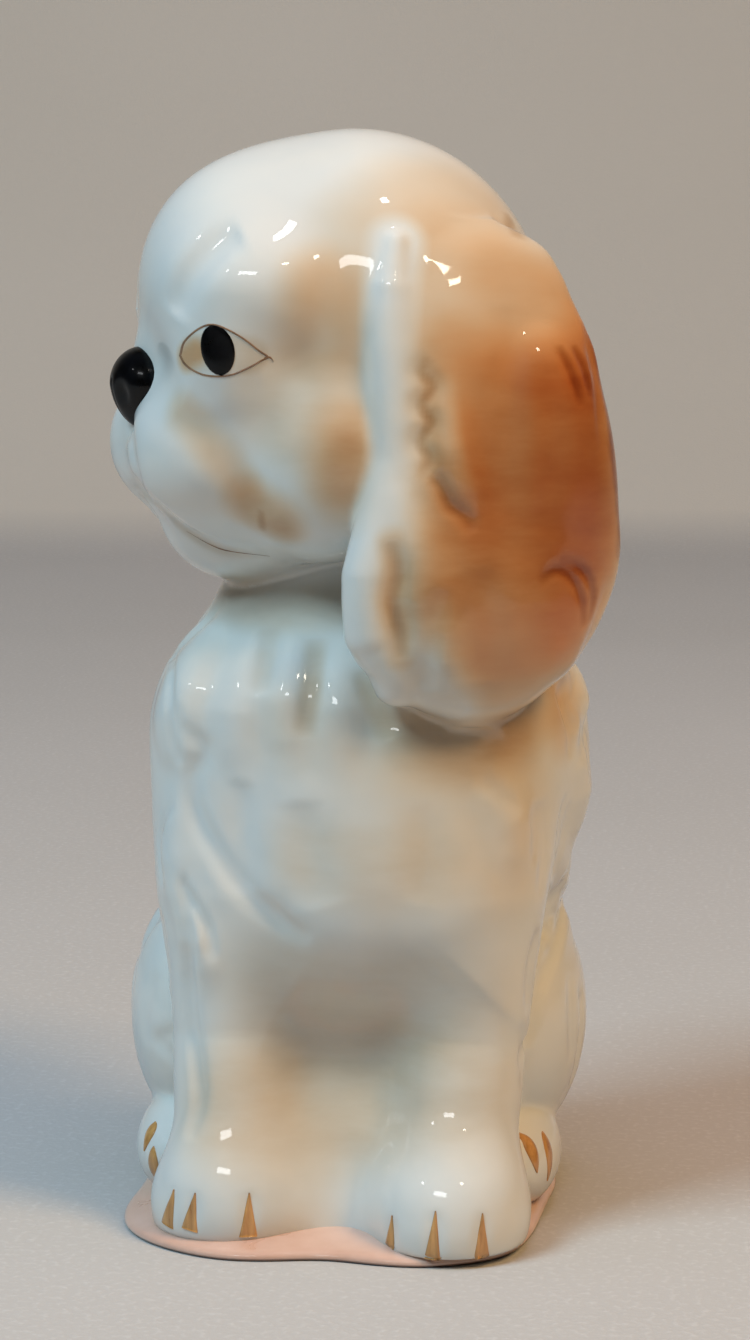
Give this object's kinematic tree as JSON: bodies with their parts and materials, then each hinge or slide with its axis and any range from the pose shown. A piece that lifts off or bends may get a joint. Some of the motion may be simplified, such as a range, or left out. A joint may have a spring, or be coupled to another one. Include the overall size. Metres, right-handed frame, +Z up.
{
  "type": "ceramic dog figurine",
  "caption": "Sitting spaniel puppy in glossy glazed porcelain, head turned aside, long tan ears, on a thin pink base slab.",
  "frame": {"origin": "on the underside of the base slab, below the middle of the body", "axes": "+Z up, -Y the way the chest faces, +X the dog's left side; the head is turned towards -X"},
  "size_m": [0.0427, 0.0429, 0.09],
  "materials": {
    "porcelain": "gloss",
    "porcelain_tan": "gloss",
    "slab_pink": "gloss",
    "enamel_black": "high gloss",
    "enamel_brown": "gloss"
  },
  "bodies": {
    "root": {"base_slab": "slab_pink", "claws_front_left": "enamel_brown", "claws_front_right": "enamel_brown", "claws_hind_left": "enamel_brown", "claws_hind_right": "enamel_brown", "ear_left": "porcelain_tan", "ear_right": "porcelain_tan", "eye_line_left": "enamel_brown", "eye_line_right": "enamel_brown", "foreleg_left": "porcelain", "foreleg_right": "porcelain", "head": "porcelain", "hind_foot_left": "porcelain", "hind_foot_right": "porcelain", "mouth_line": "enamel_brown", "nose": "enamel_black", "pupil_left": "enamel_black", "pupil_right": "enamel_black", "tail": "porcelain", "thigh_left": "porcelain", "thigh_right": "porcelain", "torso": "porcelain"}
  },
  "joints": []
}
